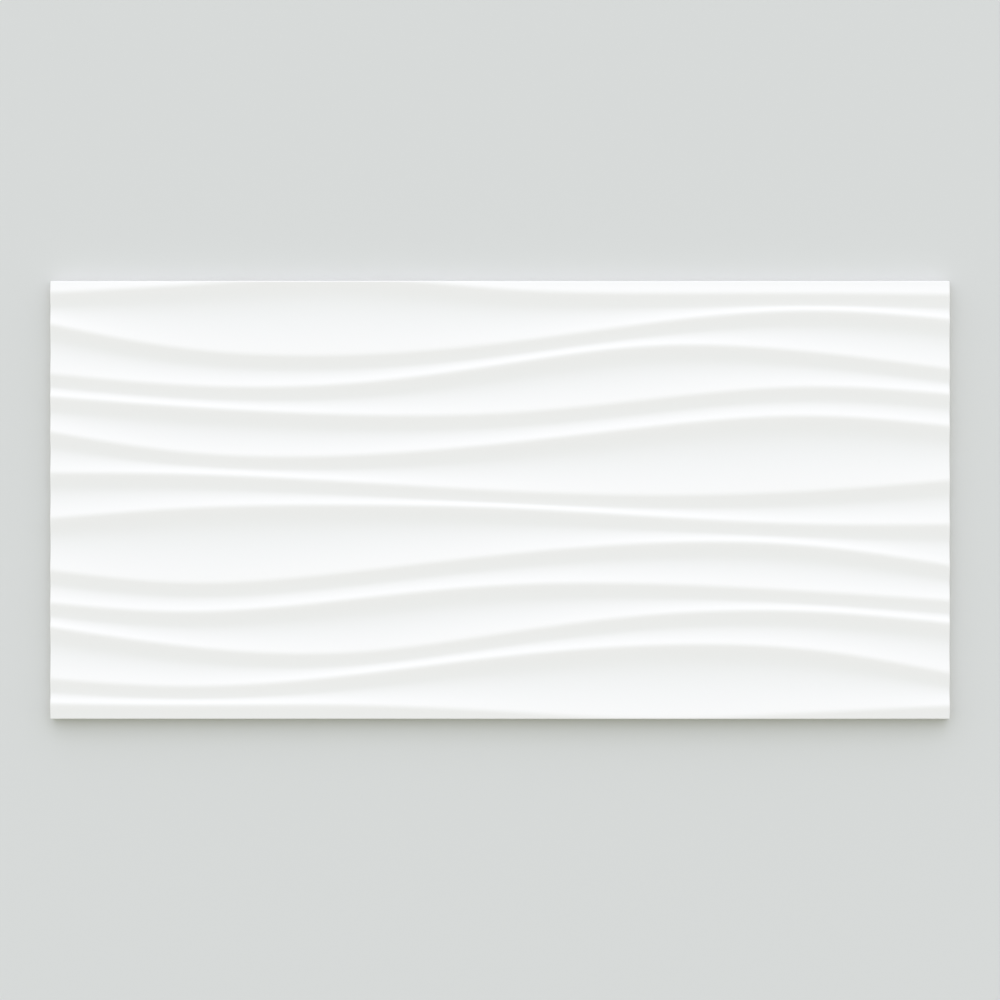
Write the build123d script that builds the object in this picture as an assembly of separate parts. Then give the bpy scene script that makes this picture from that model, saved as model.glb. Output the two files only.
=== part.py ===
from build123d import *
from math import copysign
import os

# A pressed and glazed wall tile with a wave relief, one fired piece.
# It lies on its back with the waves up: X along the length, Y across the
# width towards the upper edge, Z up from the bonding face. Millimetres.

# Tile
tile_length = 610.0
tile_width = 297.0
tile_thickness = 10.0  # from the bonding face to the sharp line of a crest, before it is rounded
rim_bevel = 0.5  # eased rim of the waved face, and of the upright corners
back_bevel = 0.6  # bevel round the back

# Wave relief. Below each crest a straight flank falls, and from its foot a
# hollow curves up to the next crest.
flank_slope = 0.13  # fall of a flank for each millimetre of its width
flank_width = 12.0  # width that a flank nears in a wide valley; it is less in a narrow one
hollow_pole = 0.42  # pole of the hollow's curve, as a share of the way from the flank to the next crest
crest_round = 2.0  # a crest is rounded to this distance on both sides of its line
relief_overrun = 10.0  # the relief is drawn past the tile's short edges by this
section_count = 13  # sections that the relief is lofted through

# How far each crest strays up or down from its even place, in 25ths of the pitch
# from crest to crest, at seven stations evenly spaced from the left end of the
# relief to its right end. The top crest comes first.
crest_sway = [
    (4, 10, 15, 7, 4, 4, 3),
    (10, -9, -13, -5, 9, 17, 10),
    (0, -9, -8, 5, 18, 14, 1),
    (9, 1, -4, -3, 7, 15, 9),
    (11, -5, -7, 1, 13, 20, 12),
    (6, 5, 0, -6, -9, -6, 2),
    (-1, 7, 9, 7, 1, -4, -4),
    (-9, -19, -12, 0, 8, 6, -9),
    (-7, -14, -6, 4, 5, 0, -7),
    (2, -13, -17, -4, 9, 11, 2),
    (-9, -15, -8, 5, 13, 10, -8),
    (-2, -3, -3, -7, -12, -8, -3),
]
crest_pitch = tile_width / len(crest_sway)
sway_step = crest_pitch / 25

# Keyed back: shallow cells between ribs, which grip the adhesive
cells_along = 16
cells_across = 8
rib_width = 4.0
cell_depth = 0.8
cell_draft = 30.0  # degrees
back_land = 8.0  # plain band round the cells


def crest_lines():
    # The outermost crests are repeated once more, so the relief runs off both long edges.
    sways = [crest_sway[0], *crest_sway, crest_sway[-1]]
    relief_length = tile_length + 2 * relief_overrun
    lines = []
    for row, sway in enumerate(sways):
        even_place = ((len(sways) - 1) / 2 - row) * crest_pitch
        spacing = relief_length / (len(sway) - 1)
        stations = [
            (i * spacing - relief_length / 2, even_place + steps * sway_step)
            for i, steps in enumerate(sway)
        ]
        lines.append(Spline(*stations))
    return lines


def valley_section(upper, lower):
    # The flank below the upper crest and the hollow that rises towards the lower one,
    # both short of the crests' rounding.
    width = (lower - upper).length
    down = (lower - upper).normalized()
    foot = flank_width * width / (flank_width + width)

    def on_flank(distance):
        return upper + down * distance + Vector(0, 0, tile_thickness - flank_slope * distance)

    flank = Line(on_flank(crest_round), on_flank(foot))
    pole = foot + hollow_pole * (width - foot)
    hollow = Bezier(on_flank(foot), on_flank(pole), lower + Vector(0, 0, tile_thickness))
    return flank, hollow.trim(0, 1 - crest_round / (2 * (width - pole)))


def rounded_crest(hollow, flank):
    # The crest's rounding, smooth to the hollow above it and to the flank below it.
    pull = crest_round * 2 / 3
    start = hollow @ 1
    end = flank @ 0
    return Bezier(start, start + (hollow % 1) * pull, end - (flank % 0) * pull, end)


def relief_section(crests):
    valleys = [valley_section(upper, lower) for upper, lower in zip(crests, crests[1:])]
    edges = list(valleys[0])
    for (_, hollow_above), (flank, hollow) in zip(valleys, valleys[1:]):
        edges.extend([rounded_crest(hollow_above, flank), flank, hollow])
    return Wire([edge.edge() for edge in edges])


def waved_faces():
    # The relief, trimmed to the tile's outline inside its eased rim.
    lines = crest_lines()
    sections = []
    for i in range(section_count):
        along = i / (section_count - 1)
        sections.append(relief_section([line @ along for line in lines]))
    outline = Rectangle(tile_length - 2 * rim_bevel, tile_width - 2 * rim_bevel)
    return Shell.make_loft(sections).intersect(extrude(outline, 2 * tile_thickness)).faces()


def foot_of(point):
    return Vector(point.X, point.Y, 0)


def side_faces(waves, outward):
    # The rim's bevel along one border of the waves, and the tile's side below it.
    half = Vector(tile_length / 2 - rim_bevel, tile_width / 2 - rim_bevel, 0)
    reach = abs(outward.dot(half))
    borders = [e for e in waves.edges() if abs((e @ 0.5).dot(outward) - reach) < 0.001]
    slide = (outward - Vector(0, 0, 1)) * rim_bevel
    bevels = [Face.extrude(border, slide) for border in borders]
    lip = Wire([border.moved(Location(slide)) for border in borders])
    start = lip @ 0
    end = lip @ 1
    frame = Polyline(end, foot_of(end), foot_of(start), start)
    return [*bevels, Face(Wire([*lip.edges(), *frame.edges()]))]


def corner_faces(corner):
    # The small facet at one corner of the waves, and the eased upright corner below it.
    end_lip = corner + Vector(copysign(rim_bevel, corner.X), 0, -rim_bevel)
    long_lip = corner + Vector(0, copysign(rim_bevel, corner.Y), -rim_bevel)
    facet = Wire.make_polygon([corner, end_lip, long_lip])
    upright = Wire.make_polygon([end_lip, long_lip, foot_of(long_lip), foot_of(end_lip)])
    return [Face(facet), Face(upright)]


def plain_tile():
    waves = waved_faces()
    back = chamfer(Rectangle(tile_length, tile_width).vertices(), rim_bevel).face()
    skin = [*waves, back]
    for outward in (Vector(1, 0, 0), Vector(-1, 0, 0), Vector(0, 1, 0), Vector(0, -1, 0)):
        skin.extend(side_faces(waves, outward))
    for place in Rectangle(tile_length, tile_width).vertices():
        corner = min(waves.vertices(), key=lambda v: (foot_of(v) - foot_of(place)).length)
        skin.extend(corner_faces(Vector(*corner)))
    return Solid(Shell(skin))


def keyed_back_cells():
    pitch_along = (tile_length - 2 * back_land + rib_width) / cells_along
    pitch_across = (tile_width - 2 * back_land + rib_width) / cells_across
    mouth = Rectangle(pitch_along - rib_width, pitch_across - rib_width)
    cell = extrude(mouth, cell_depth, taper=cell_draft)
    return [place * cell for place in GridLocations(pitch_along, pitch_across, cells_along, cells_across)]


def wall_tile():
    tile = plain_tile()
    tile = chamfer(tile.faces().sort_by(Axis.Z)[0].edges(), back_bevel)
    return tile - keyed_back_cells()


os.makedirs("parts", exist_ok=True)
export_step(wall_tile(), "parts/wall_tile.step")
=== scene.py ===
import math
import bmesh
import bpy
import numpy as np
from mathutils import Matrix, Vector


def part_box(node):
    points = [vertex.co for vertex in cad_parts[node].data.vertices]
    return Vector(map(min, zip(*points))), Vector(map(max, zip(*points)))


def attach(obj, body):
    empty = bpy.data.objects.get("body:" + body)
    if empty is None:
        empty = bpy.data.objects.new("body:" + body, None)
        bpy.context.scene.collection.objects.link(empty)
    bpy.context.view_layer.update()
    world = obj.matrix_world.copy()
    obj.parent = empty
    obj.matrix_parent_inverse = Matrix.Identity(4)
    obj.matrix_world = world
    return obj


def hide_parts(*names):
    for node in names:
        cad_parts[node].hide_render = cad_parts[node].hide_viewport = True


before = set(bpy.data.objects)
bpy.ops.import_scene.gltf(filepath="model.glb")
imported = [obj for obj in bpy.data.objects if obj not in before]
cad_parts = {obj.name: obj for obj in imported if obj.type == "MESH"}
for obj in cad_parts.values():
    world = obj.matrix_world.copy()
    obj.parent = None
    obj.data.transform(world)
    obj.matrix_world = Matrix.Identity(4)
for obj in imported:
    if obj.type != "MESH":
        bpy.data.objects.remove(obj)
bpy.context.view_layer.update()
tileLow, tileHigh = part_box("wall_tile")
mm = 0.001
print("frame loaded, tile", [round(side / mm, 2) for side in tileHigh - tileLow], "mm")


# camera, straight down on the face

cameraLook = {
    "lens": 100.0,  # mm
    "sensor": 36.0,  # mm
    "widthShare": 0.9,  # share of the picture's width that the tile takes up
}


def lookStraightDown(settings):
    camera = bpy.data.cameras.new("camera")
    camera.lens = settings["lens"]
    camera.sensor_width = settings["sensor"]
    cameraObject = bpy.data.objects.new("camera", camera)
    seenWidth = (tileHigh.x - tileLow.x) / settings["widthShare"]
    distance = seenWidth * settings["lens"] / settings["sensor"]
    cameraObject.location = (0.0, 0.0, tileHigh.z + distance)
    bpy.context.scene.collection.objects.link(cameraObject)
    bpy.context.scene.camera = cameraObject


lookStraightDown(cameraLook)


# small helpers for building node trees

def addNode(tree, kind, **settings):
    node = tree.nodes.new(kind)
    for name, value in settings.items():
        setattr(node, name, value)
    return node


def feed(tree, socket, value):
    # links another node's output, or sets a plain value
    if isinstance(value, bpy.types.NodeSocket):
        tree.links.new(value, socket)
    else:
        socket.default_value = value


def calc(tree, operation, first, second=None):
    node = addNode(tree, "ShaderNodeMath", operation=operation)
    feed(tree, node.inputs[0], first)
    if second is not None:
        feed(tree, node.inputs[1], second)
    return node.outputs[0]


def limit(tree, value, low, high):
    return calc(tree, "MINIMUM", calc(tree, "MAXIMUM", value, low), high)


def rampUp(tree, value, start, length):
    # 0 up to start, then up to 1 over a length
    return limit(tree, calc(tree, "DIVIDE", calc(tree, "SUBTRACT", value, start), length), 0.0, 1.0)


def blendValues(tree, share, first, second):
    node = addNode(tree, "ShaderNodeMix", data_type="FLOAT")
    for number, value in ((0, share), (2, first), (3, second)):
        feed(tree, node.inputs[number], value)
    return node.outputs[0]


def blendColors(tree, share, under, over):
    node = addNode(tree, "ShaderNodeMix", data_type="RGBA")
    for number, value in ((0, share), (6, under), (7, over)):
        feed(tree, node.inputs[number], value)
    return node.outputs[2]


def vectorOf(tree, x, y, z):
    node = addNode(tree, "ShaderNodeCombineXYZ")
    for socket, value in zip(node.inputs, (x, y, z)):
        feed(tree, socket, value)
    return node.outputs[0]


def partsOf(tree, vector):
    node = addNode(tree, "ShaderNodeSeparateXYZ")
    feed(tree, node.inputs[0], vector)
    return node.outputs


def newTree(name, kind, inputs, outputs):
    tree = bpy.data.node_groups.new(name, kind)
    for direction, sockets in (("INPUT", inputs), ("OUTPUT", outputs)):
        for label, socketKind in sockets.items():
            tree.interface.new_socket(label, in_out=direction, socket_type="NodeSocket" + socketKind)
    given = tree.nodes.new("NodeGroupInput").outputs
    wanted = tree.nodes.new("NodeGroupOutput").inputs
    return tree, given, wanted


def useGroup(tree, group, passOn=(), **values):
    # inputs that the tree has under the same name are passed on, the others are set
    kind = "GeometryNodeGroup" if group.bl_idname == "GeometryNodeTree" else "ShaderNodeGroup"
    node = addNode(tree, kind, node_tree=group)
    for socket in passOn:
        if socket.name and socket.name in node.inputs:
            tree.links.new(socket, node.inputs[socket.name])
    for label, value in values.items():
        feed(tree, node.inputs[label], value)
    return node.outputs


# crest lines: twelve that show, and one more beyond each long edge

crestLook = {
    "overrun": 10.0,  # mm that the lines run past the tile's short edges
    "stepsPerPitch": 25,  # the sways below are in steps, this many to the even pitch
    "resolution": 40,  # points from one station to the next
}

# how far each crest strays from its even place, at seven even stations from left to right
crestSway = [
    (4, 10, 15, 7, 4, 4, 3),
    (10, -9, -13, -5, 9, 17, 10),
    (0, -9, -8, 5, 18, 14, 1),
    (9, 1, -4, -3, 7, 15, 9),
    (11, -5, -7, 1, 13, 20, 12),
    (6, 5, 0, -6, -9, -6, 2),
    (-1, 7, 9, 7, 1, -4, -4),
    (-9, -19, -12, 0, 8, 6, -9),
    (-7, -14, -6, 4, 5, 0, -7),
    (2, -13, -17, -4, 9, 11, 2),
    (-9, -15, -8, 5, 13, 10, -8),
    (-2, -3, -3, -7, -12, -8, -3),
]
reliefLength = tileHigh.x - tileLow.x + 2 * crestLook["overrun"] * mm
valleyCount = len(crestSway) + 1


def smoothSlopes(heights, spacing):
    # slopes of the smooth curve through evenly spaced heights, free at both ends
    count = len(heights)
    beside = np.ones(count - 1)
    weights = np.diag([2.0] + [4.0] * (count - 2) + [2.0]) + np.diag(beside, 1) + np.diag(beside, -1)
    padded = [heights[0], *heights, heights[-1]]
    rises = [3 * (after - before) / spacing for before, after in zip(padded, padded[2:])]
    return np.linalg.solve(weights, rises)


def drawCrestLines(settings):
    pitch = (tileHigh.y - tileLow.y) / len(crestSway)
    step = pitch / settings["stepsPerPitch"]
    sways = [crestSway[0], *crestSway, crestSway[-1]]
    spacing = reliefLength / (len(crestSway[0]) - 1)
    reach = spacing / 3
    curve = bpy.data.curves.new("crest_lines", "CURVE")
    curve.resolution_u = settings["resolution"]
    for row, sway in enumerate(sways):
        heights = [(valleyCount / 2 - row) * pitch + steps * step for steps in sway]
        slopes = smoothSlopes(heights, spacing)
        spline = curve.splines.new("BEZIER")
        spline.bezier_points.add(len(heights) - 1)
        for i, point in enumerate(spline.bezier_points):
            x = i * spacing - reliefLength / 2
            point.handle_left_type = point.handle_right_type = "FREE"
            point.co = (x, heights[i], 0)
            point.handle_left = (x - reach, heights[i] - slopes[i] * reach, 0)
            point.handle_right = (x + reach, heights[i] + slopes[i] * reach, 0)
    lines = bpy.data.objects.new("crest_lines", curve)
    bpy.context.scene.collection.objects.link(lines)
    return lines


crestLines = drawCrestLines(crestLook)
print("crest lines drawn:", len(crestLines.data.splines))


# shader groups that the glaze and the bare clay share

def makeMottleGroup():
    # soft clouds of tone, 0 to 1
    group, given, wanted = newTree(
        "mottle", "ShaderNodeTree",
        {"Place": "Vector", "Scale": "Float", "Contrast": "Float"}, {"Tone": "Float"},
    )
    noise = addNode(group, "ShaderNodeTexNoise")
    noise.inputs["Detail"].default_value = 4.0
    feed(group, noise.inputs["Vector"], given["Place"])
    feed(group, noise.inputs["Scale"], given["Scale"])
    spread = calc(group, "MULTIPLY", calc(group, "SUBTRACT", noise.outputs[0], 0.5), given["Contrast"])
    feed(group, wanted["Tone"], limit(group, calc(group, "ADD", spread, 0.5), 0.0, 1.0))
    return group


def makeSpeckGroup():
    # scattered round specks, 1 in a speck and 0 between them
    group, given, wanted = newTree(
        "specks", "ShaderNodeTree",
        {"Place": "Vector", "Scale": "Float", "Size": "Float", "Share": "Float"}, {"Speck": "Float"},
    )
    cells = addNode(group, "ShaderNodeTexVoronoi")
    feed(group, cells.inputs["Vector"], given["Place"])
    feed(group, cells.inputs["Scale"], given["Scale"])
    # each speck has a size of its own, from this share of the given one up to 1 more
    smallest = 0.4
    red, green = partsOf(group, cells.outputs["Color"])[:2]
    size = calc(group, "MULTIPLY", given["Size"], calc(group, "ADD", green, smallest))
    chosen = calc(group, "LESS_THAN", red, given["Share"])
    inside = calc(group, "SUBTRACT", 1.0, calc(group, "DIVIDE", cells.outputs["Distance"], size))
    feed(group, wanted["Speck"], calc(group, "MULTIPLY", chosen, limit(group, inside, 0.0, 1.0)))
    return group


mottle = makeMottleGroup()
specks = makeSpeckGroup()


# glaze

glazeLook = {
    "thin": (0.885, 0.884, 0.872, 1.0),  # over the crests, where the glaze is thinnest
    "pooled": (0.876, 0.884, 0.880, 1.0),  # in the hollows
    "poolDepth": 2.0,  # mm below a crest where the glaze is fully pooled
    "rimTone": (0.78, 0.77, 0.745, 1.0),  # over the rim and the sides, where the body shows through
    "rimStrength": 0.7,
    "cloudScale": 9.0,  # per metre
    "cloudContrast": 1.4,
    "cloudTone": (0.865, 0.868, 0.862, 1.0),
    "cloudStrength": 0.25,
    "glossScale": 54.0,
    "glossContrast": 2.0,
    "roughnessLow": 0.16,
    "roughnessHigh": 0.24,
    "pinScale": 70.0,  # rare pinholes
    "pinSize": 0.018,
    "pinShare": 0.3,
    "pinTone": (0.74, 0.735, 0.71, 1.0),
    "pinDepth": 5.0,  # in heights of the orange peel
    "peelScale": 260.0,  # orange peel
    "peelDetail": 2.0,
    "peelHeight": 0.01,  # mm
}


def makeGlazeGroup(settings):
    # colour, roughness and fine relief of the glaze
    group, given, wanted = newTree(
        "glazeCoat", "ShaderNodeTree",
        {"Place": "Vector", "Hollow": "Float", "Rim": "Float"},
        {"Color": "Color", "Roughness": "Float", "Relief": "Float"},
    )
    place = given["Place"]
    pool = rampUp(group, given["Hollow"], 0.0, settings["poolDepth"] * mm)
    cloud = useGroup(
        group, mottle, Place=place, Scale=settings["cloudScale"], Contrast=settings["cloudContrast"])[0]
    pin = useGroup(
        group, specks, Place=place, Scale=settings["pinScale"], Size=settings["pinSize"],
        Share=settings["pinShare"])[0]
    color = blendColors(group, pool, settings["thin"], settings["pooled"])
    color = blendColors(
        group, calc(group, "MULTIPLY", cloud, settings["cloudStrength"]), color, settings["cloudTone"])
    color = blendColors(
        group, calc(group, "MULTIPLY", given["Rim"], settings["rimStrength"]), color, settings["rimTone"])
    feed(group, wanted["Color"], blendColors(group, pin, color, settings["pinTone"]))

    gloss = useGroup(
        group, mottle, Place=place, Scale=settings["glossScale"], Contrast=settings["glossContrast"])[0]
    feed(group, wanted["Roughness"], blendValues(
        group, gloss, settings["roughnessLow"], settings["roughnessHigh"]))

    peel = addNode(group, "ShaderNodeTexNoise")
    peel.inputs["Scale"].default_value = settings["peelScale"]
    peel.inputs["Detail"].default_value = settings["peelDetail"]
    feed(group, peel.inputs["Vector"], place)
    holes = calc(group, "MULTIPLY", pin, settings["pinDepth"])
    feed(group, wanted["Relief"], calc(group, "SUBTRACT", peel.outputs[0], holes))
    return group


glazeCoat = makeGlazeGroup(glazeLook)


def newMaterial(name):
    material = bpy.data.materials.new(name)
    material.use_nodes = True
    tree = material.node_tree
    return material, tree, tree.nodes["Principled BSDF"].inputs


def placeAndCoat(tree):
    # place on the tile, and the glaze there
    place = addNode(tree, "ShaderNodeTexCoord").outputs["Object"]
    hollow = addNode(tree, "ShaderNodeAttribute", attribute_name="hollow").outputs["Fac"]
    rim = addNode(tree, "ShaderNodeAttribute", attribute_name="rim").outputs["Fac"]
    return place, hollow, useGroup(tree, glazeCoat, Place=place, Hollow=hollow, Rim=rim)


def bumpOf(tree, height, distance):
    bump = addNode(tree, "ShaderNodeBump")
    bump.inputs["Distance"].default_value = distance
    feed(tree, bump.inputs["Height"], height)
    return bump.outputs[0]


def makeGlaze(settings):
    material, tree, surface = newMaterial("white_glaze")
    coat = placeAndCoat(tree)[2]
    feed(tree, surface["Base Color"], coat["Color"])
    feed(tree, surface["Roughness"], coat["Roughness"])
    feed(tree, surface["Normal"], bumpOf(tree, coat["Relief"], settings["peelHeight"] * mm))
    return material


# bare clay of the sides and the back, with the glaze that runs over the rim

clayLook = {
    "pale": (0.80, 0.765, 0.70, 1.0),
    "warm": (0.71, 0.655, 0.57, 1.0),
    "cloudScale": 14.0,
    "cloudContrast": 2.2,
    "roughness": 0.85,
    "wash": (0.86, 0.85, 0.825, 1.0),  # kiln wash left on the ribs
    "washDepth": 0.3,  # mm up from the ribs that the wash reaches
    "washMost": 0.9,  # on the ribs
    "washLeast": 0.15,  # elsewhere
    "washScale": 45.0,
    "washContrast": 3.0,
    "pit": (0.55, 0.50, 0.43, 1.0),
    "pitScale": 420.0,
    "pitSize": 0.2,
    "pitShare": 0.3,
    "pitStrength": 0.6,
    "grainScale": 1400.0,
    "grainDetail": 3.0,
    "grainHeight": 0.05,  # mm
    "grainStart": 0.5,  # grain above this is darker
    "grainSpan": 0.3,
    "grainStrength": 0.25,
    "runHeight": 5.9,  # mm above the back where the highest run of glaze ends, below a crest
    "runLength": 1.8,  # mm by which the longest run reaches lower
    "runFollow": 0.5,  # share of the waves' fall that the line of the glaze follows
    "runScale": 60.0,
    "runContrast": 2.5,
    "runEdge": 0.6,  # mm over which the glaze thins out
    "glazeHeight": 0.12,  # mm that the glaze stands above the clay
    "slip": (0.865, 0.86, 0.84, 1.0),  # white slip that shows below the glaze
    "slipWidth": 0.6,  # mm
    "slipStrength": 0.85,
    "dropReach": 2.0,  # mm below the glaze that stray drops of it lie
    "dropScale": 800.0,
    "dropSize": 0.35,
    "dropShare": 0.3,
    "dropEdge": 0.15,
}


def makeClayBody(tree, place, height, settings):
    # biscuit with clouds of tone, kiln wash on the ribs, fine grain and pits
    cloud = useGroup(
        tree, mottle, Place=place, Scale=settings["cloudScale"], Contrast=settings["cloudContrast"])[0]
    wash = useGroup(
        tree, mottle, Place=place, Scale=settings["washScale"], Contrast=settings["washContrast"])[0]
    pit = useGroup(
        tree, specks, Place=place, Scale=settings["pitScale"], Size=settings["pitSize"],
        Share=settings["pitShare"])[0]
    grain = addNode(tree, "ShaderNodeTexNoise")
    grain.inputs["Scale"].default_value = settings["grainScale"]
    grain.inputs["Detail"].default_value = settings["grainDetail"]
    feed(tree, grain.inputs["Vector"], place)

    onRibs = calc(tree, "SUBTRACT", 1.0, calc(tree, "DIVIDE", height, settings["washDepth"] * mm))
    washed = calc(tree, "MULTIPLY", wash, limit(tree, onRibs, settings["washLeast"], settings["washMost"]))
    body = blendColors(tree, cloud, settings["pale"], settings["warm"])
    body = blendColors(tree, washed, body, settings["wash"])
    coarse = rampUp(tree, grain.outputs[0], settings["grainStart"], settings["grainSpan"])
    dark = calc(tree, "ADD", calc(tree, "MULTIPLY", pit, settings["pitStrength"]), calc(
        tree, "MULTIPLY", coarse, settings["grainStrength"]))
    return blendColors(tree, dark, body, settings["pit"]), calc(tree, "SUBTRACT", grain.outputs[0], pit)


def makeGlazeLine(tree, place, height, hollow, settings):
    # the glaze ends in an uneven line on the sides, with slip and stray drops below it
    runs = useGroup(
        tree, mottle, Place=place, Scale=settings["runScale"], Contrast=settings["runContrast"])[0]
    line = calc(tree, "SUBTRACT", settings["runHeight"] * mm, calc(
        tree, "MULTIPLY", runs, settings["runLength"] * mm))
    line = calc(tree, "SUBTRACT", line, calc(tree, "MULTIPLY", hollow, settings["runFollow"]))
    above = calc(tree, "SUBTRACT", height, line)
    glazed = rampUp(tree, above, 0.0, settings["runEdge"] * mm)
    slipped = rampUp(tree, above, -settings["slipWidth"] * mm, settings["slipWidth"] / 2 * mm)
    drop = useGroup(
        tree, specks, Place=place, Scale=settings["dropScale"], Size=settings["dropSize"],
        Share=settings["dropShare"])[0]
    near = rampUp(tree, above, -settings["dropReach"] * mm, settings["dropReach"] * mm)
    drops = rampUp(tree, calc(tree, "MULTIPLY", drop, near), settings["dropEdge"], settings["dropEdge"])
    return glazed, calc(tree, "MAXIMUM", calc(tree, "MULTIPLY", slipped, settings["slipStrength"]), drops)


def makeClay(settings):
    material, tree, surface = newMaterial("bare_clay")
    place, hollow, coat = placeAndCoat(tree)
    height = partsOf(tree, place)[2]
    body, rough = makeClayBody(tree, place, height, settings)
    glazed, slipped = makeGlazeLine(tree, place, height, hollow, settings)
    body = blendColors(tree, slipped, body, settings["slip"])
    feed(tree, surface["Base Color"], blendColors(tree, glazed, body, coat["Color"]))
    feed(tree, surface["Roughness"], blendValues(tree, glazed, settings["roughness"], coat["Roughness"]))
    step = settings["glazeHeight"] / settings["grainHeight"]
    relief = blendValues(tree, glazed, rough, step)
    feed(tree, surface["Normal"], bumpOf(tree, relief, settings["grainHeight"] * mm))
    return material


whiteGlaze = makeGlaze(glazeLook)
bareClay = makeClay(clayLook)
print("materials made: glaze and bare clay")


# tile

tileLook = {
    "Rim Radius": 0.5 * mm,  # round of the glaze along the rim of the face
    "Rim Lead": 0.3 * mm,  # narrow strip inside the rim, which keeps the rim's shading off the waves
    "Back Bevel": 0.6 * mm,
    "Flank Slope": 0.137,  # fall of the straight flank below each crest
    "Flank Width": 10.5 * mm,  # width that a flank nears in a wide valley; it is less in a narrow one
    "Hollow Pole": 0.34,  # pole of the hollow's curve, on its way from the flank to the next crest
    "Crest Round": 2.0 * mm,
    "Columns": 256,  # along the tile
    "Crest Rows": 3,  # on each side of a crest's rounding
    "Valley Rows": 13,  # between the roundings of two crests
    "Rim Rows": 4,
    "Cells Along": 16,
    "Cells Across": 8,
    "Rib Width": 4.0 * mm,
    "Cell Depth": 0.8 * mm,
    "Cell Draft": math.tan(math.radians(30.0)),  # spread of a cell's wall for each part of its depth
    "Back Land": 8.0 * mm,
}
valleyRule = ("Flank Slope", "Flank Width", "Hollow Pole", "Crest Round")
linesPerCell = 4  # a cell's two lips, and between them the two sides of its floor
weldReach = 0.002 * mm  # points closer than this become one
nearLevel = 0.1  # the upward part of a side's normal stays within this


def sizeSockets(*names):
    # kinds of socket for the tile's named sizes
    return {name: "Int" if isinstance(tileLook.get(name), int) else "Float" for name in names}


def makeCrestGroup():
    # how far up the tile a crest lies, at a place along it
    group, given, wanted = newTree(
        "crestHeight", "GeometryNodeTree",
        {"Crest Lines": "Object", "Crest": "Float", "Along": "Float"}, {"Height": "Float"},
    )
    lines = addNode(group, "GeometryNodeObjectInfo")
    feed(group, lines.inputs["Object"], given["Crest Lines"])
    fine = addNode(group, "GeometryNodeResampleCurve", mode="EVALUATED")
    feed(group, fine.inputs["Curve"], lines.outputs["Geometry"])
    x, y = partsOf(group, group.nodes.new("GeometryNodeInputPosition").outputs[0])[:2]
    keep = addNode(group, "GeometryNodeCaptureAttribute", domain="POINT")
    keep.capture_items.new("FLOAT", "Height")
    feed(group, keep.inputs["Geometry"], fine.outputs[0])
    feed(group, keep.inputs["Height"], y)
    # laid flat, a line's length is its reach along the tile
    flat = addNode(group, "GeometryNodeSetPosition")
    feed(group, flat.inputs["Geometry"], keep.outputs["Geometry"])
    feed(group, flat.inputs["Position"], vectorOf(group, x, 0.0, 0.0))
    sample = addNode(group, "GeometryNodeSampleCurve", mode="FACTOR", data_type="FLOAT")
    sample.use_all_curves = False
    feed(group, sample.inputs["Curves"], flat.outputs[0])
    feed(group, sample.inputs["Value"], keep.outputs["Height"])
    feed(group, sample.inputs["Factor"], calc(
        group, "ADD", calc(group, "DIVIDE", given["Along"], reliefLength), 0.5))
    feed(group, sample.inputs["Curve Index"], given["Crest"])
    feed(group, wanted["Height"], sample.outputs["Value"])
    return group


def makeRoundGroup():
    # eases a crest: 0 on its line, nearly 1 well away from it
    group, given, wanted = newTree(
        "crestRound", "GeometryNodeTree",
        {"Distance": "Float", "Crest Round": "Float"}, {"Ease": "Float"},
    )
    rounding = given["Crest Round"]
    far = calc(group, "MAXIMUM", given["Distance"], rounding)
    near = calc(group, "MINIMUM", given["Distance"], rounding)
    half = calc(group, "MULTIPLY", calc(group, "DIVIDE", rounding, far), 0.5)
    feed(group, wanted["Ease"], calc(
        group, "MULTIPLY", calc(group, "SUBTRACT", 1.0, half), calc(group, "DIVIDE", near, rounding)))
    return group


def makeValleyGroup(crestRound):
    # depth below the crests: a straight flank under the upper crest, then a curve up to the lower one
    places = {"Upper": "Float", "Lower": "Float", "Place": "Float"}
    group, given, wanted = newTree(
        "valleyDepth", "GeometryNodeTree", {**places, **sizeSockets(*valleyRule)}, {"Depth": "Float"})
    width = calc(group, "SUBTRACT", given["Upper"], given["Lower"])
    below = calc(group, "MAXIMUM", calc(group, "SUBTRACT", given["Upper"], given["Place"]), 0.0)
    above = calc(group, "MAXIMUM", calc(group, "SUBTRACT", given["Place"], given["Lower"]), 0.0)
    diagonal = calc(group, "SQRT", calc(
        group, "ADD", calc(group, "POWER", given["Flank Width"], 2.0), calc(group, "POWER", width, 2.0)))
    foot = calc(group, "DIVIDE", calc(group, "MULTIPLY", given["Flank Width"], width), diagonal)
    # how far along its Bezier curve the hollow is, from its place across the valley
    past = calc(group, "MAXIMUM", calc(group, "SUBTRACT", below, foot), 0.0)
    rest = calc(group, "SUBTRACT", width, foot)
    toPole = calc(group, "MULTIPLY", rest, given["Hollow Pole"])
    bend = calc(group, "SUBTRACT", rest, calc(group, "MULTIPLY", toPole, 2.0))
    root = calc(group, "SQRT", calc(group, "ADD", calc(group, "POWER", toPole, 2.0), calc(
        group, "MULTIPLY", bend, past)))
    rise = calc(group, "DIVIDE", past, calc(group, "ADD", toPole, root))
    climb = calc(group, "MULTIPLY", width, calc(group, "POWER", rise, 2.0))
    depth = calc(group, "MULTIPLY", given["Flank Slope"], calc(group, "SUBTRACT", below, climb))
    for distance in (below, above):
        depth = calc(group, "MULTIPLY", depth, useGroup(group, crestRound, given, Distance=distance)[0])
    feed(group, wanted["Depth"], depth)
    return group


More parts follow.
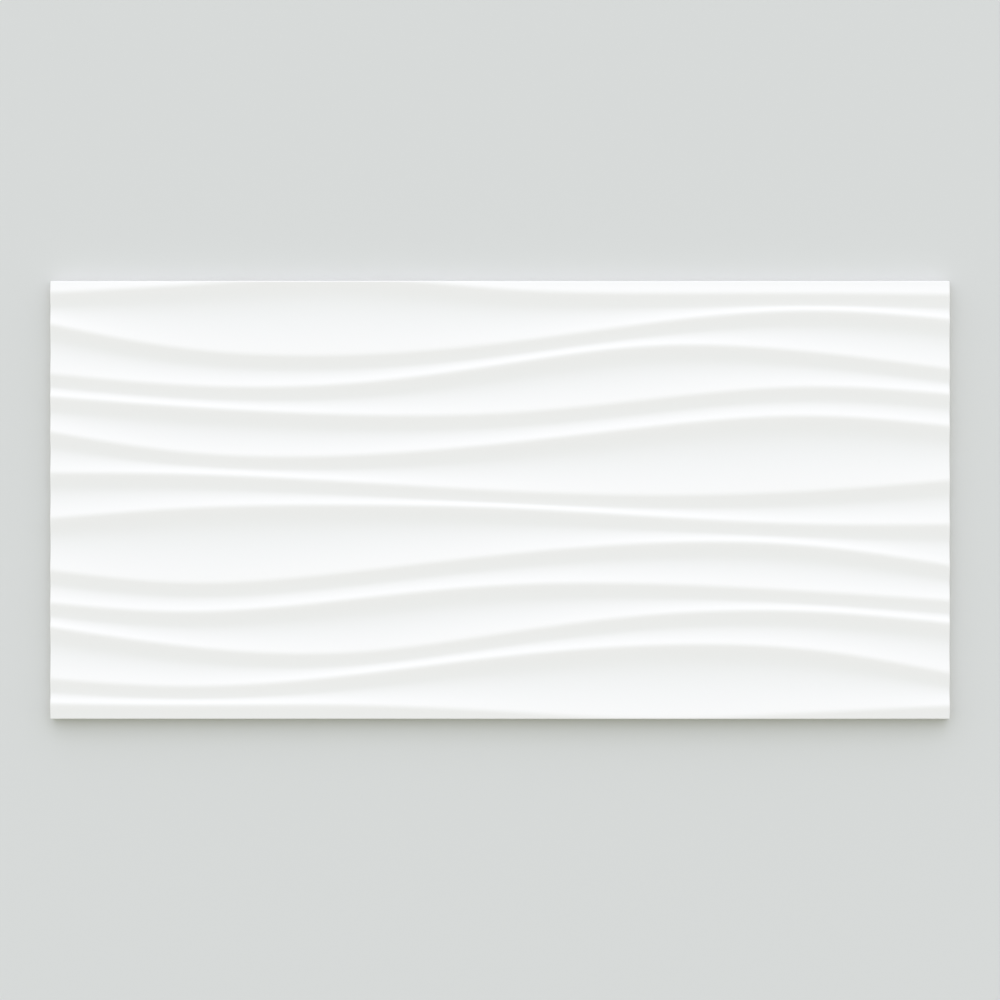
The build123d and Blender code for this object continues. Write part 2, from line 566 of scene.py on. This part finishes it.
def layGrid(tree, columns, rows):
    # a grid of unit squares, with the number of each point's column and row
    grid = addNode(tree, "GeometryNodeMeshGrid")
    place = partsOf(tree, tree.nodes.new("GeometryNodeInputPosition").outputs[0])
    numbers = []
    for name, count, spot in zip("XY", (columns, rows), place):
        feed(tree, grid.inputs["Size " + name], count)
        feed(tree, grid.inputs["Vertices " + name], calc(tree, "ADD", count, 1))
        numbers.append(calc(tree, "ROUND", calc(tree, "ADD", spot, calc(tree, "MULTIPLY", count, 0.5))))
    return grid.outputs["Mesh"], *numbers


def moveTo(tree, geometry, place):
    node = addNode(tree, "GeometryNodeSetPosition")
    feed(tree, node.inputs["Geometry"], geometry)
    feed(tree, node.inputs["Position"], place)
    return node.outputs[0]


def storeOnPoints(tree, geometry, name, value):
    node = addNode(tree, "GeometryNodeStoreNamedAttribute", data_type="FLOAT", domain="POINT")
    node.inputs["Name"].default_value = name
    feed(tree, node.inputs["Geometry"], geometry)
    feed(tree, node.inputs["Value"], value)
    return node.outputs[0]


def rimTurn(tree, number, rim, count):
    # from -1 up to 0 over the first rim, 0 on the face, and up to 1 over the other rim
    first = calc(tree, "SUBTRACT", rampUp(tree, number, 0.0, rim), 1.0)
    return calc(tree, "ADD", first, rampUp(tree, number, calc(tree, "ADD", rim, count), rim))


def turnOver(tree, radius, rimAlong, rimAcross):
    # the rim turns over in a quarter round, and in part of a ball at the corners
    leastSpread = 0.001  # keeps the division off 0
    turn = calc(tree, "MAXIMUM", calc(tree, "ABSOLUTE", rimAlong), calc(tree, "ABSOLUTE", rimAcross))
    angle = calc(tree, "MULTIPLY", turn, math.pi / 2)
    spread = calc(tree, "SQRT", calc(
        tree, "ADD", calc(tree, "POWER", rimAlong, 2.0), calc(tree, "POWER", rimAcross, 2.0)))
    reach = calc(tree, "DIVIDE", calc(tree, "MULTIPLY", radius, calc(tree, "SINE", angle)), calc(
        tree, "MAXIMUM", spread, leastSpread))
    sink = calc(tree, "MULTIPLY", radius, calc(tree, "SUBTRACT", 1.0, calc(tree, "COSINE", angle)))
    return turn, calc(tree, "MULTIPLY", rimAlong, reach), calc(tree, "MULTIPLY", rimAcross, reach), sink


def edgeSide(tree, number, rim, count):
    # -1 on the first rim, 1 on the other one, and 0 on the face between them
    past = calc(tree, "SUBTRACT", number, rim)
    first = limit(tree, calc(tree, "SUBTRACT", past, 1.0), -1.0, 0.0)
    last = limit(tree, calc(tree, "ADD", calc(tree, "SUBTRACT", past, count), 1.0), 0.0, 1.0)
    return calc(tree, "ADD", first, last)


def belowCrest(tree, given, row, width):
    # how far below its upper crest a row of a valley lies: close rows by both crests, wider ones between
    rounding, crestRows, valleyRows = given["Crest Round"], given["Crest Rows"], given["Valley Rows"]
    middle = calc(tree, "SUBTRACT", width, calc(tree, "MULTIPLY", rounding, 2))
    start = 0
    below = 0.0
    for length, rows in ((rounding, crestRows), (middle, valleyRows), (rounding, crestRows)):
        below = calc(tree, "ADD", below, calc(tree, "MULTIPLY", length, rampUp(tree, row, start, rows)))
        start = calc(tree, "ADD", start, rows)
    return below


def makeFaceGroup():
    # the waved face and its rim, on a grid whose rows follow the crests
    sizes = (
        "Length", "Width", "Top", "Rim Radius", "Rim Lead",
        "Rim Rows", "Columns", "Crest Rows", "Valley Rows",
    )
    group, given, wanted = newTree(
        "wavedFace", "GeometryNodeTree",
        {**sizeSockets(*sizes, *valleyRule), "Crest Lines": "Object"}, {"Face": "Geometry"},
    )
    crestHeight = makeCrestGroup()
    valleyDepth = makeValleyGroup(makeRoundGroup())
    rim, lead, columns = given["Rim Rows"], given["Rim Lead"], given["Columns"]
    edging = calc(group, "ADD", given["Rim Radius"], lead)
    halfLength, halfWidth = (
        calc(group, "SUBTRACT", calc(group, "MULTIPLY", given[name], 0.5), edging)
        for name in ("Length", "Width"))

    def crestAt(number):
        return useGroup(group, crestHeight, given, Crest=number, Along=along)[0]

    def depthBetween(upper, lower):
        return useGroup(group, valleyDepth, given, Upper=upper, Lower=lower, Place=across)[0]

    rowsEach = calc(group, "ADD", calc(group, "MULTIPLY", given["Crest Rows"], 2), given["Valley Rows"])
    faceRows = calc(group, "MULTIPLY", rowsEach, valleyCount)
    rims = calc(group, "MULTIPLY", rim, 2)
    grid, column, row = layGrid(
        group, calc(group, "ADD", columns, rims), calc(group, "ADD", faceRows, rims))
    rimAlong = rimTurn(group, column, rim, columns)
    rimAcross = rimTurn(group, row, rim, faceRows)
    turn, overAlong, overAcross, sink = turnOver(group, given["Rim Radius"], rimAlong, rimAcross)
    leadAlong = calc(group, "MULTIPLY", lead, edgeSide(group, column, rim, columns))
    leadAcross = calc(group, "MULTIPLY", lead, edgeSide(group, row, rim, faceRows))

    # place along the face, and the valley that the row belongs to, from the top
    share = rampUp(group, column, calc(group, "ADD", rim, 1), calc(group, "SUBTRACT", columns, 2))
    even = calc(group, "SUBTRACT", calc(group, "MULTIPLY", share, 2.0), 1.0)
    along = calc(group, "ADD", calc(group, "MULTIPLY", halfLength, even), leadAlong)
    faceRow = limit(group, calc(group, "SUBTRACT", calc(group, "ADD", faceRows, rim), row), 0.0, faceRows)
    valley = calc(group, "FLOOR", calc(group, "DIVIDE", faceRow, rowsEach))
    valley = calc(group, "MINIMUM", valley, valleyCount - 1)
    rowBelow = calc(group, "SUBTRACT", faceRow, calc(group, "MULTIPLY", valley, rowsEach))

    # place across the face; a crest that runs off the tile leaves its rows on the rim
    upper = crestAt(valley)
    lower = crestAt(calc(group, "ADD", valley, 1))
    below = belowCrest(group, given, rowBelow, calc(group, "SUBTRACT", upper, lower))
    across = limit(
        group, calc(group, "SUBTRACT", upper, below), calc(group, "MULTIPLY", halfWidth, -1.0), halfWidth)
    across = calc(group, "ADD", across, leadAcross)

    # depth in this valley, or in the next one inwards where a crest has run off
    inUpperHalf = calc(group, "LESS_THAN", valley, valleyCount / 2)
    inwards = calc(group, "SUBTRACT", calc(group, "MULTIPLY", inUpperHalf, 2.0), 1.0)
    nextValley = limit(group, calc(group, "ADD", valley, inwards), 0, valleyCount - 1)
    nextDepth = depthBetween(crestAt(nextValley), crestAt(calc(group, "ADD", nextValley, 1)))
    hollow = calc(group, "MAXIMUM", depthBetween(upper, lower), nextDepth)

    face = storeOnPoints(group, storeOnPoints(group, grid, "hollow", hollow), "rim", turn)
    top = calc(group, "SUBTRACT", calc(group, "SUBTRACT", given["Top"], hollow), sink)
    feed(group, wanted["Face"], moveTo(group, face, vectorOf(
        group, calc(group, "ADD", along, overAlong), calc(group, "ADD", across, overAcross), top)))
    return group


def weld(tree, geometry):
    node = addNode(tree, "GeometryNodeMergeByDistance")
    node.inputs["Distance"].default_value = weldReach
    feed(tree, node.inputs["Geometry"], geometry)
    return node.outputs[0]


def openEdges(tree):
    node = addNode(tree, "FunctionNodeCompare", data_type="INT", operation="EQUAL")
    feed(tree, node.inputs[2], tree.nodes.new("GeometryNodeInputMeshEdgeNeighbors").outputs[0])
    node.inputs[3].default_value = 1
    return node.outputs[0]


def pullDown(tree, mesh, halfLength, halfWidth, height):
    # draws the open edge down to a new outline
    pulled = addNode(tree, "GeometryNodeExtrudeMesh", mode="EDGES")
    feed(tree, pulled.inputs["Mesh"], mesh)
    feed(tree, pulled.inputs["Selection"], openEdges(tree))
    pulled.inputs["Offset Scale"].default_value = 0.0
    x, y = partsOf(tree, tree.nodes.new("GeometryNodeInputPosition").outputs[0])[:2]
    x = limit(tree, x, calc(tree, "MULTIPLY", halfLength, -1.0), halfLength)
    y = limit(tree, y, calc(tree, "MULTIPLY", halfWidth, -1.0), halfWidth)
    placed = addNode(tree, "GeometryNodeSetPosition")
    feed(tree, placed.inputs["Geometry"], pulled.outputs["Mesh"])
    feed(tree, placed.inputs["Selection"], pulled.outputs["Top"])
    feed(tree, placed.inputs["Position"], vectorOf(tree, x, y, height))
    return placed.outputs[0]


def makeSidesGroup():
    # the tile's sides below the face, and the bevel round the back
    group, given, wanted = newTree(
        "sides", "GeometryNodeTree",
        {"Face": "Geometry", **sizeSockets("Length", "Width", "Back Bevel")}, {"Shell": "Geometry"},
    )
    bevel = given["Back Bevel"]
    halves = [calc(group, "MULTIPLY", given[name], 0.5) for name in ("Length", "Width")]
    inner = [calc(group, "SUBTRACT", half, bevel) for half in halves]
    shell = pullDown(group, weld(group, given["Face"]), *halves, bevel)
    feed(group, wanted["Shell"], weld(group, pullDown(group, shell, *inner, 0.0)))
    return group


def cellLines(tree, given, number, cells, size):
    # place of a line across the cells, and whether it is on their floor, as a cell's two middle lines are
    draft = calc(tree, "MULTIPLY", given["Cell Depth"], given["Cell Draft"])
    cell = calc(tree, "FLOOR", calc(tree, "DIVIDE", number, linesPerCell))
    part = calc(tree, "SUBTRACT", number, calc(tree, "MULTIPLY", cell, linesPerCell))
    field = calc(tree, "SUBTRACT", size, calc(tree, "MULTIPLY", given["Back Land"], 2))
    pitch = calc(tree, "DIVIDE", calc(tree, "ADD", field, given["Rib Width"]), cells)
    mouth = calc(tree, "SUBTRACT", pitch, given["Rib Width"])
    offset = addNode(tree, "GeometryNodeIndexSwitch", data_type="FLOAT")
    offset.index_switch_items.new()
    offset.index_switch_items.new()
    feed(tree, offset.inputs["Index"], part)
    for i, value in enumerate((0.0, draft, calc(tree, "SUBTRACT", mouth, draft), mouth)):
        feed(tree, offset.inputs[i + 1], value)
    start = calc(tree, "ADD", calc(tree, "MULTIPLY", field, -0.5), calc(tree, "MULTIPLY", cell, pitch))
    onFloor = calc(tree, "LESS_THAN", calc(tree, "ABSOLUTE", calc(tree, "SUBTRACT", part, 1.5)), 1.0)
    return calc(tree, "ADD", start, offset.outputs[0]), onFloor


def makeBackGroup():
    # shallow cells between ribs, which grip the adhesive
    sizes = (
        "Length", "Width", "Cells Along", "Cells Across",
        "Rib Width", "Cell Depth", "Cell Draft", "Back Land",
    )
    group, given, wanted = newTree(
        "keyedBack", "GeometryNodeTree", sizeSockets(*sizes), {"Back": "Geometry"})
    lastLines = [
        calc(group, "SUBTRACT", calc(group, "MULTIPLY", given[name], linesPerCell), 1)
        for name in ("Cells Along", "Cells Across")
    ]
    grid, column, row = layGrid(group, *lastLines)
    x, floorAlong = cellLines(group, given, column, given["Cells Along"], given["Length"])
    y, floorAcross = cellLines(group, given, row, given["Cells Across"], given["Width"])
    z = calc(group, "MULTIPLY", given["Cell Depth"], calc(group, "MINIMUM", floorAlong, floorAcross))
    feed(group, wanted["Back"], moveTo(group, grid, vectorOf(group, x, y, z)))
    return group


def joinMeshes(tree, *meshes):
    node = addNode(tree, "GeometryNodeJoinGeometry")
    for mesh in meshes:
        tree.links.new(mesh, node.inputs[0])
    return node.outputs[0]


def fillBetween(tree, *meshes):
    # flat land between the open edges of two meshes
    loops = []
    for mesh in meshes:
        loop = addNode(tree, "GeometryNodeMeshToCurve")
        feed(tree, loop.inputs["Mesh"], mesh)
        feed(tree, loop.inputs["Selection"], openEdges(tree))
        loops.append(loop.outputs[0])
    land = addNode(tree, "GeometryNodeFillCurve", mode="TRIANGLES")
    feed(tree, land.inputs["Curve"], joinMeshes(tree, *loops))
    return land.outputs[0]


def coverWith(tree, geometry, material, where=True):
    node = addNode(tree, "GeometryNodeSetMaterial")
    for label, value in (("Geometry", geometry), ("Material", material), ("Selection", where)):
        feed(tree, node.inputs[label], value)
    return node.outputs[0]


def makeTileTree():
    tree, given, wanted = newTree(
        "glazedTile", "GeometryNodeTree",
        {"Geometry": "Geometry", **sizeSockets("Length", "Width", "Top", *tileLook),
         "Crest Lines": "Object", "Glaze": "Material", "Clay": "Material"}, {"Geometry": "Geometry"},
    )
    face = useGroup(tree, makeFaceGroup(), given)[0]
    shell = useGroup(tree, makeSidesGroup(), given, Face=face)[0]
    back = useGroup(tree, makeBackGroup(), given)[0]
    facingDown = addNode(tree, "GeometryNodeFlipFaces")
    feed(tree, facingDown.inputs["Mesh"], joinMeshes(tree, back, fillBetween(tree, shell, back)))
    whole = weld(tree, joinMeshes(tree, shell, facingDown.outputs[0]))

    # smooth above, flat on the bevel and the back; clay wherever a face doesn't look up
    upward = partsOf(tree, tree.nodes.new("GeometryNodeInputNormal").outputs[0])[2]
    smooth = addNode(tree, "GeometryNodeSetShadeSmooth", domain="FACE")
    feed(tree, smooth.inputs[0], whole)
    feed(tree, smooth.inputs["Shade Smooth"], calc(tree, "GREATER_THAN", upward, -nearLevel))
    real = addNode(tree, "GeometryNodeRealizeInstances")
    feed(tree, real.inputs[0], smooth.outputs[0])
    glazed = coverWith(tree, real.outputs[0], given["Glaze"])
    turnedAway = calc(tree, "LESS_THAN", upward, nearLevel)
    feed(tree, wanted["Geometry"], coverWith(tree, glazed, given["Clay"], turnedAway))
    return tree


def makeTile():
    tree = makeTileTree()
    tile = bpy.data.objects.new("glazed_tile", bpy.data.meshes.new("glazed_tile"))
    bpy.context.scene.collection.objects.link(tile)
    relief = tile.modifiers.new("relief", "NODES")
    relief.node_group = tree
    values = {
        **tileLook, "Length": tileHigh.x - tileLow.x, "Width": tileHigh.y - tileLow.y, "Top": tileHigh.z,
        "Crest Lines": crestLines, "Glaze": whiteGlaze, "Clay": bareClay,
    }
    for item in tree.interface.items_tree:
        if item.in_out == "INPUT" and item.name in values:
            relief[item.identifier] = values[item.name]
    evaluated = tile.evaluated_get(bpy.context.evaluated_depsgraph_get())
    mesh = bpy.data.meshes.new_from_object(evaluated)
    tile.modifiers.clear()
    tile.data = mesh
    bpy.data.objects.remove(crestLines)
    return tile


def reportMesh(tile):
    check = bmesh.new()
    check.from_mesh(tile.data)
    openCount = sum(not edge.is_manifold for edge in check.edges)
    volume = check.calc_volume(signed=True) / mm**3
    triangles = sum(len(face.verts) - 2 for face in check.faces)
    check.free()
    print("tile:", triangles, "triangles,", openCount, "open edges, volume", round(volume), "mm3")


glazedTile = makeTile()
reportMesh(glazedTile)
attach(glazedTile, "root")
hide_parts("wall_tile")


# floor and light

studioLook = {
    "floorSize": 12.0,  # m
    "floorColor": (0.66, 0.675, 0.665, 1.0),
    "floorRoughness": 0.9,
    "backdrop": (0.70, 0.715, 0.71, 1.0),  # what the camera and the gloss see beyond the floor
    "domeLevel": (1.003, 1.012, 0.994),  # soft light from all over the dome
    "domeTilt": (0.89, 0.885, 1.12),  # more of it from the upper edge's side, less from the lower edge's
    "domeLeast": (0.3, 0.3, 0.3),  # but no less than this
    "lampColor": (0.87, 0.86, 1.0),
    "lampElevation": 30.0,  # degrees
    "lampDistance": 8.0,  # m
    "lampSize": (7.0, 0.9),  # m
    "lampPower": 28.0,  # W
}


def layFloor(settings):
    half = settings["floorSize"] / 2
    mesh = bpy.data.meshes.new("floor")
    corners = [(-half, -half, 0), (half, -half, 0), (half, half, 0), (-half, half, 0)]
    mesh.from_pydata(corners, [], [(0, 1, 2, 3)])
    floor = bpy.data.objects.new("floor", mesh)
    material, _, surface = newMaterial("pale_floor")
    surface["Base Color"].default_value = settings["floorColor"]
    surface["Roughness"].default_value = settings["floorRoughness"]
    mesh.materials.append(material)
    bpy.context.scene.collection.objects.link(floor)


def hangStripLamp(settings):
    # a weak strip that shows in the gloss
    lamp = bpy.data.lights.new("strip", "AREA")
    lamp.shape = "RECTANGLE"
    lamp.size, lamp.size_y = settings["lampSize"]
    lamp.color = settings["lampColor"]
    lamp.energy = settings["lampPower"]
    lampObject = bpy.data.objects.new("strip", lamp)
    elevation = math.radians(settings["lampElevation"])
    distance = settings["lampDistance"]
    lampObject.location = (0.0, distance * math.cos(elevation), distance * math.sin(elevation))
    lampObject.rotation_euler = (elevation - math.pi / 2, 0.0, 0.0)
    lampObject.visible_camera = False
    bpy.context.scene.collection.objects.link(lampObject)


def lightDome(settings):
    # a soft dome of light, brighter towards the upper edge's side
    world = bpy.data.worlds.new("studio")
    world.use_nodes = True
    tree = world.node_tree
    across = partsOf(tree, addNode(tree, "ShaderNodeTexCoord").outputs["Generated"])[1]
    dome = addNode(tree, "ShaderNodeVectorMath", operation="MULTIPLY_ADD")
    for socket, value in zip(dome.inputs, (settings["domeTilt"], across, settings["domeLevel"])):
        feed(tree, socket, value)
    light = addNode(tree, "ShaderNodeVectorMath", operation="MAXIMUM")
    feed(tree, light.inputs[0], dome.outputs[0])
    feed(tree, light.inputs[1], settings["domeLeast"])
    ray = addNode(tree, "ShaderNodeLightPath").outputs
    seen = calc(tree, "MAXIMUM", ray["Is Camera Ray"], ray["Is Glossy Ray"])
    feed(tree, tree.nodes["Background"].inputs["Color"], blendColors(
        tree, seen, light.outputs[0], settings["backdrop"]))
    bpy.context.scene.world = world


layFloor(studioLook)
lightDome(studioLook)
hangStripLamp(studioLook)
bpy.context.scene.view_settings.view_transform = "Standard"
print("floor and light set")
